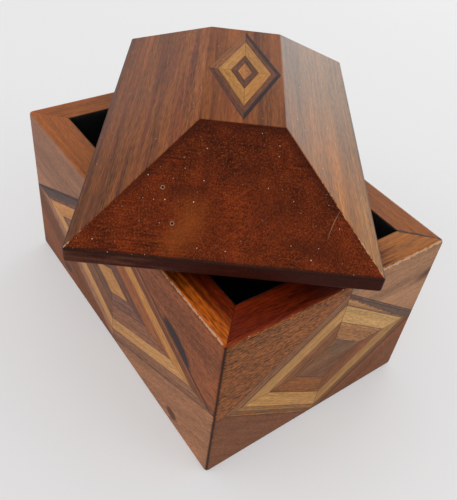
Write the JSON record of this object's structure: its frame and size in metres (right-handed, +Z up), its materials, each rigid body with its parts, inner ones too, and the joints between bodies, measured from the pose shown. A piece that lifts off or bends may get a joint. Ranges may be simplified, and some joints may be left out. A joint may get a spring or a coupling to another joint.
{
  "type": "wooden puzzle box",
  "caption": "Rectangular wooden box with nested-diamond marquetry walls, a hip-roof lid lying askew on the rim, a dark lined compartment and a hidden sliding-pin lock.",
  "frame": {"origin": "centre of the base's underside, on the surface that the box stands on", "axes": "+Z up, +X along the base's length towards its right end, +Y across it towards its back wall"},
  "size_m": [0.1346, 0.1274, 0.0877],
  "materials": {
    "wall_wood": "satin lacquer",
    "lid_wood": "satin lacquer",
    "plain_wood": "satin",
    "black_wood": "satin lacquer",
    "brown_wood": "satin lacquer",
    "light_wood": "satin lacquer",
    "red_wood": "satin lacquer",
    "dark_wood": "satin lacquer",
    "heart_wood": "satin lacquer",
    "black_felt": "matt nap",
    "steel_pin": "plain"
  },
  "bodies": {
    "base": {"back_wall_brown_strips": "brown_wood", "back_wall_dark_stringing": "black_wood", "back_wall_dark_strips": "dark_wood", "back_wall_heart": "light_wood", "back_wall_light_strips": "light_wood", "back_wall_lining": "black_felt", "back_wall_red_strips": "red_wood", "back_wall_wedges": "wall_wood", "bottom_board": "plain_wood", "floor_lining": "black_felt", "front_wall_brown_strips": "brown_wood", "front_wall_dark_stringing": "black_wood", "front_wall_dark_strips": "dark_wood", "front_wall_heart": "light_wood", "front_wall_light_strips": "light_wood", "front_wall_lining": "black_felt", "front_wall_red_strips": "red_wood", "front_wall_wedges": "wall_wood", "left_end_brown_strips": "brown_wood", "left_end_dark_stringing": "black_wood", "left_end_heart": "dark_wood", "left_end_light_strips": "light_wood", "left_end_lining": "black_felt", "left_end_red_strips": "red_wood", "left_end_wedges": "wall_wood", "right_end_brown_strips": "brown_wood", "right_end_dark_stringing": "black_wood", "right_end_heart": "dark_wood", "right_end_light_strips": "light_wood", "right_end_lining": "black_felt", "right_end_red_strips": "red_wood", "right_end_wedges": "wall_wood"},
    "lid": {"lid_block": "lid_wood", "lid_dark_stringing": "black_wood", "lid_dark_strips": "dark_wood", "lid_heart": "heart_wood", "lid_light_strips": "light_wood", "lid_red_strips": "red_wood", "lid_tongue": "plain_wood"},
    "left_lock_pin": {"left_end_lock_pin": "steel_pin"},
    "right_lock_pin": {"right_end_lock_pin": "steel_pin"}
  },
  "joints": [
    {"name": "lid_lift", "type": "slide", "parent": "base", "child": "lid", "axis": [0, 0, 1], "range_m": [0, 0.1]},
    {"name": "left_pin_slide", "type": "slide", "parent": "base", "child": "left_lock_pin", "axis": [1, 0, 0], "range_m": [0, 0.004]},
    {"name": "right_pin_slide", "type": "slide", "parent": "base", "child": "right_lock_pin", "axis": [-1, 0, 0], "range_m": [0, 0.004]}
  ]
}
